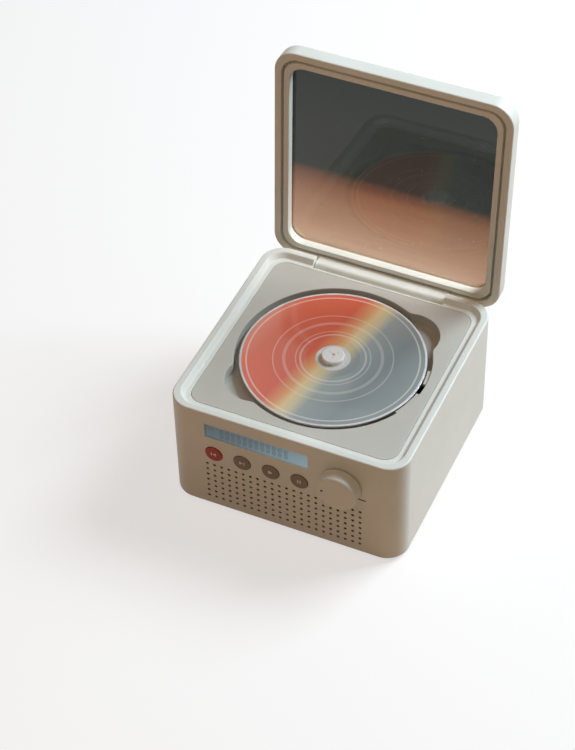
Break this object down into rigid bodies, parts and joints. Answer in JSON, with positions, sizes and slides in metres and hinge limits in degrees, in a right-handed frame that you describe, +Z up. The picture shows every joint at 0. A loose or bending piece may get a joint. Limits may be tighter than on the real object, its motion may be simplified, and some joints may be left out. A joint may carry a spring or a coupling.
{
  "type": "desktop compact disc player",
  "caption": "Square desktop disc player with a rear-hinged windowed lid standing open over a disc well, and a front with display, buttons, volume knob and grille.",
  "frame": {"origin": "on the surface under the feet, in the middle of the overall width and depth with the lid open; the disc's axis is 8.03 mm in front of it", "axes": "+X to the right of someone facing the controls, +Y to the rear, +Z up"},
  "size_m": [0.16, 0.196, 0.2362],
  "materials": {
    "case_plastic": "fine satin texture, warm white",
    "deck_plastic": "fine matte texture, light grey",
    "window_acrylic": "clear, polished",
    "disc_print": "screen printed, coral to sand to slate, under clear lacquer",
    "hub_plastic": "smooth white",
    "steel": "plain",
    "screw_steel": "zinc plated",
    "black_plastic": "fine matte",
    "rubber": "matte",
    "button_red": "satin",
    "button_grey": "satin",
    "display_glass": "smooth, tinted pale blue",
    "display_panel": "reflective backing",
    "circuit_board": "green solder mask",
    "cloth": "fine plain weave",
    "cone_paper": "pressed paper",
    "gear_plastic": "natural, self-lubricating",
    "battery_wrap": "shrink sleeve",
    "ribbon_plastic": "flat cable insulation",
    "lens_glass": "coated"
  },
  "bodies": {
    "case": {"main_case": "case_plastic", "top_deck": "deck_plastic", "bottom_cover": "case_plastic", "rubber_feet": "rubber", "cover_screws": "screw_steel", "deck_screws": "screw_steel", "lid_sensor": "circuit_board", "hinge_pins": "steel", "spindle_motor": "steel", "display_window": "display_glass", "display_module": "display_panel", "volume_encoder": "black_plastic", "encoder_nut": "steel", "control_board": "circuit_board", "control_screws": "screw_steel", "tact_switches": "black_plastic", "grille_cloth": "cloth", "speaker_gaskets": "rubber", "speaker_left": "black_plastic", "speaker_right": "black_plastic", "speaker_screws": "screw_steel", "mechanism_chassis": "steel", "damper_bushes": "rubber", "chassis_screws": "screw_steel", "guide_rods": "steel", "sled_motor": "steel", "gear_axle": "steel", "main_board": "circuit_board", "board_screws": "screw_steel", "battery_pack": "battery_wrap", "ribbon_cable": "ribbon_plastic", "power_inlet": "steel", "audio_socket": "black_plastic", "switch_housing": "black_plastic"},
    "lid": {"lid_frame": "case_plastic", "window_bezel": "case_plastic", "lid_window": "window_acrylic", "lid_magnet": "steel"},
    "turntable": {"turntable_hub": "hub_plastic", "hub_cap": "hub_plastic", "hub_balls": "steel", "spindle_shaft": "steel"},
    "disc": {"compact_disc": "disc_print"},
    "knob": {"volume_knob": "case_plastic", "encoder_shaft": "steel"},
    "previous": {"button_previous": "button_red"},
    "next": {"button_next": "button_grey"},
    "play": {"button_play": "button_grey"},
    "pause": {"button_pause": "button_grey"},
    "sled": {"pickup_sled": "black_plastic", "sled_rack": "gear_plastic"},
    "lens": {"lens_holder": "black_plastic", "pickup_lens": "lens_glass"},
    "gear": {"drive_gear": "gear_plastic"},
    "pinion": {"motor_pinion": "gear_plastic"},
    "switch": {"power_slider": "black_plastic"},
    "cone_left": {"speaker_cone_left": "cone_paper"},
    "cone_right": {"speaker_cone_right": "cone_paper"}
  },
  "joints": [
    {"name": "lid_hinge", "type": "hinge", "parent": "case", "child": "lid", "pos_m": [0, 0.06957, 0.0794], "axis": [-1, 0, 0], "range_deg": [-93.5, 0]},
    {"name": "spindle", "type": "hinge", "parent": "case", "child": "turntable", "pos_m": [0, -0.00803, 0.08], "axis": [0, 0, 1], "continuous": true},
    {"name": "disc_lift", "type": "slide", "parent": "turntable", "child": "disc", "axis": [0, 0, 1], "range_m": [0, 0.02]},
    {"name": "volume_turn", "type": "hinge", "parent": "case", "child": "knob", "pos_m": [0.0402, -0.09303, 0.061], "axis": [0, 1, 0], "range_deg": [-140, 140]},
    {"name": "previous_press", "type": "slide", "parent": "case", "child": "previous", "axis": [0, 1, 0], "range_m": [0, 0.0008], "stiffness_N_per_m": 700, "springref_m": -0.0004},
    {"name": "next_press", "type": "slide", "parent": "case", "child": "next", "axis": [0, 1, 0], "range_m": [0, 0.0008], "stiffness_N_per_m": 700, "springref_m": -0.0004},
    {"name": "play_press", "type": "slide", "parent": "case", "child": "play", "axis": [0, 1, 0], "range_m": [0, 0.0008], "stiffness_N_per_m": 700, "springref_m": -0.0004},
    {"name": "pause_press", "type": "slide", "parent": "case", "child": "pause", "axis": [0, 1, 0], "range_m": [0, 0.0008], "stiffness_N_per_m": 700, "springref_m": -0.0004},
    {"name": "sled_slide", "type": "slide", "parent": "case", "child": "sled", "axis": [1, 0, 0], "range_m": [0, 0.033]},
    {"name": "gear_spin", "type": "hinge", "parent": "case", "child": "gear", "pos_m": [0.035, -0.03968, 0.062], "axis": [0, 0, 1], "range_deg": [-385, 5]},
    {"name": "pinion_spin", "type": "hinge", "parent": "case", "child": "pinion", "pos_m": [0.02365, -0.03968, 0.06], "axis": [0, 0, 1], "range_deg": [-10, 1530]},
    {"name": "lens_focus", "type": "slide", "parent": "sled", "child": "lens", "axis": [0, 0, 1], "range_m": [-0.0006, 0.0006], "stiffness_N_per_m": 60},
    {"name": "switch_slide", "type": "slide", "parent": "case", "child": "switch", "axis": [1, 0, 0], "range_m": [0, 0.003]},
    {"name": "cone_left_move", "type": "slide", "parent": "case", "child": "cone_left", "axis": [0, 1, 0], "range_m": [-0.0005, 0.0005], "stiffness_N_per_m": 900},
    {"name": "cone_right_move", "type": "slide", "parent": "case", "child": "cone_right", "axis": [0, 1, 0], "range_m": [-0.0005, 0.0005], "stiffness_N_per_m": 900}
  ],
  "couplings": [
    {"joint": "gear_spin", "follows": "sled_slide", "rad_per_m": -201},
    {"joint": "pinion_spin", "follows": "sled_slide", "rad_per_m": 801.81}
  ]
}
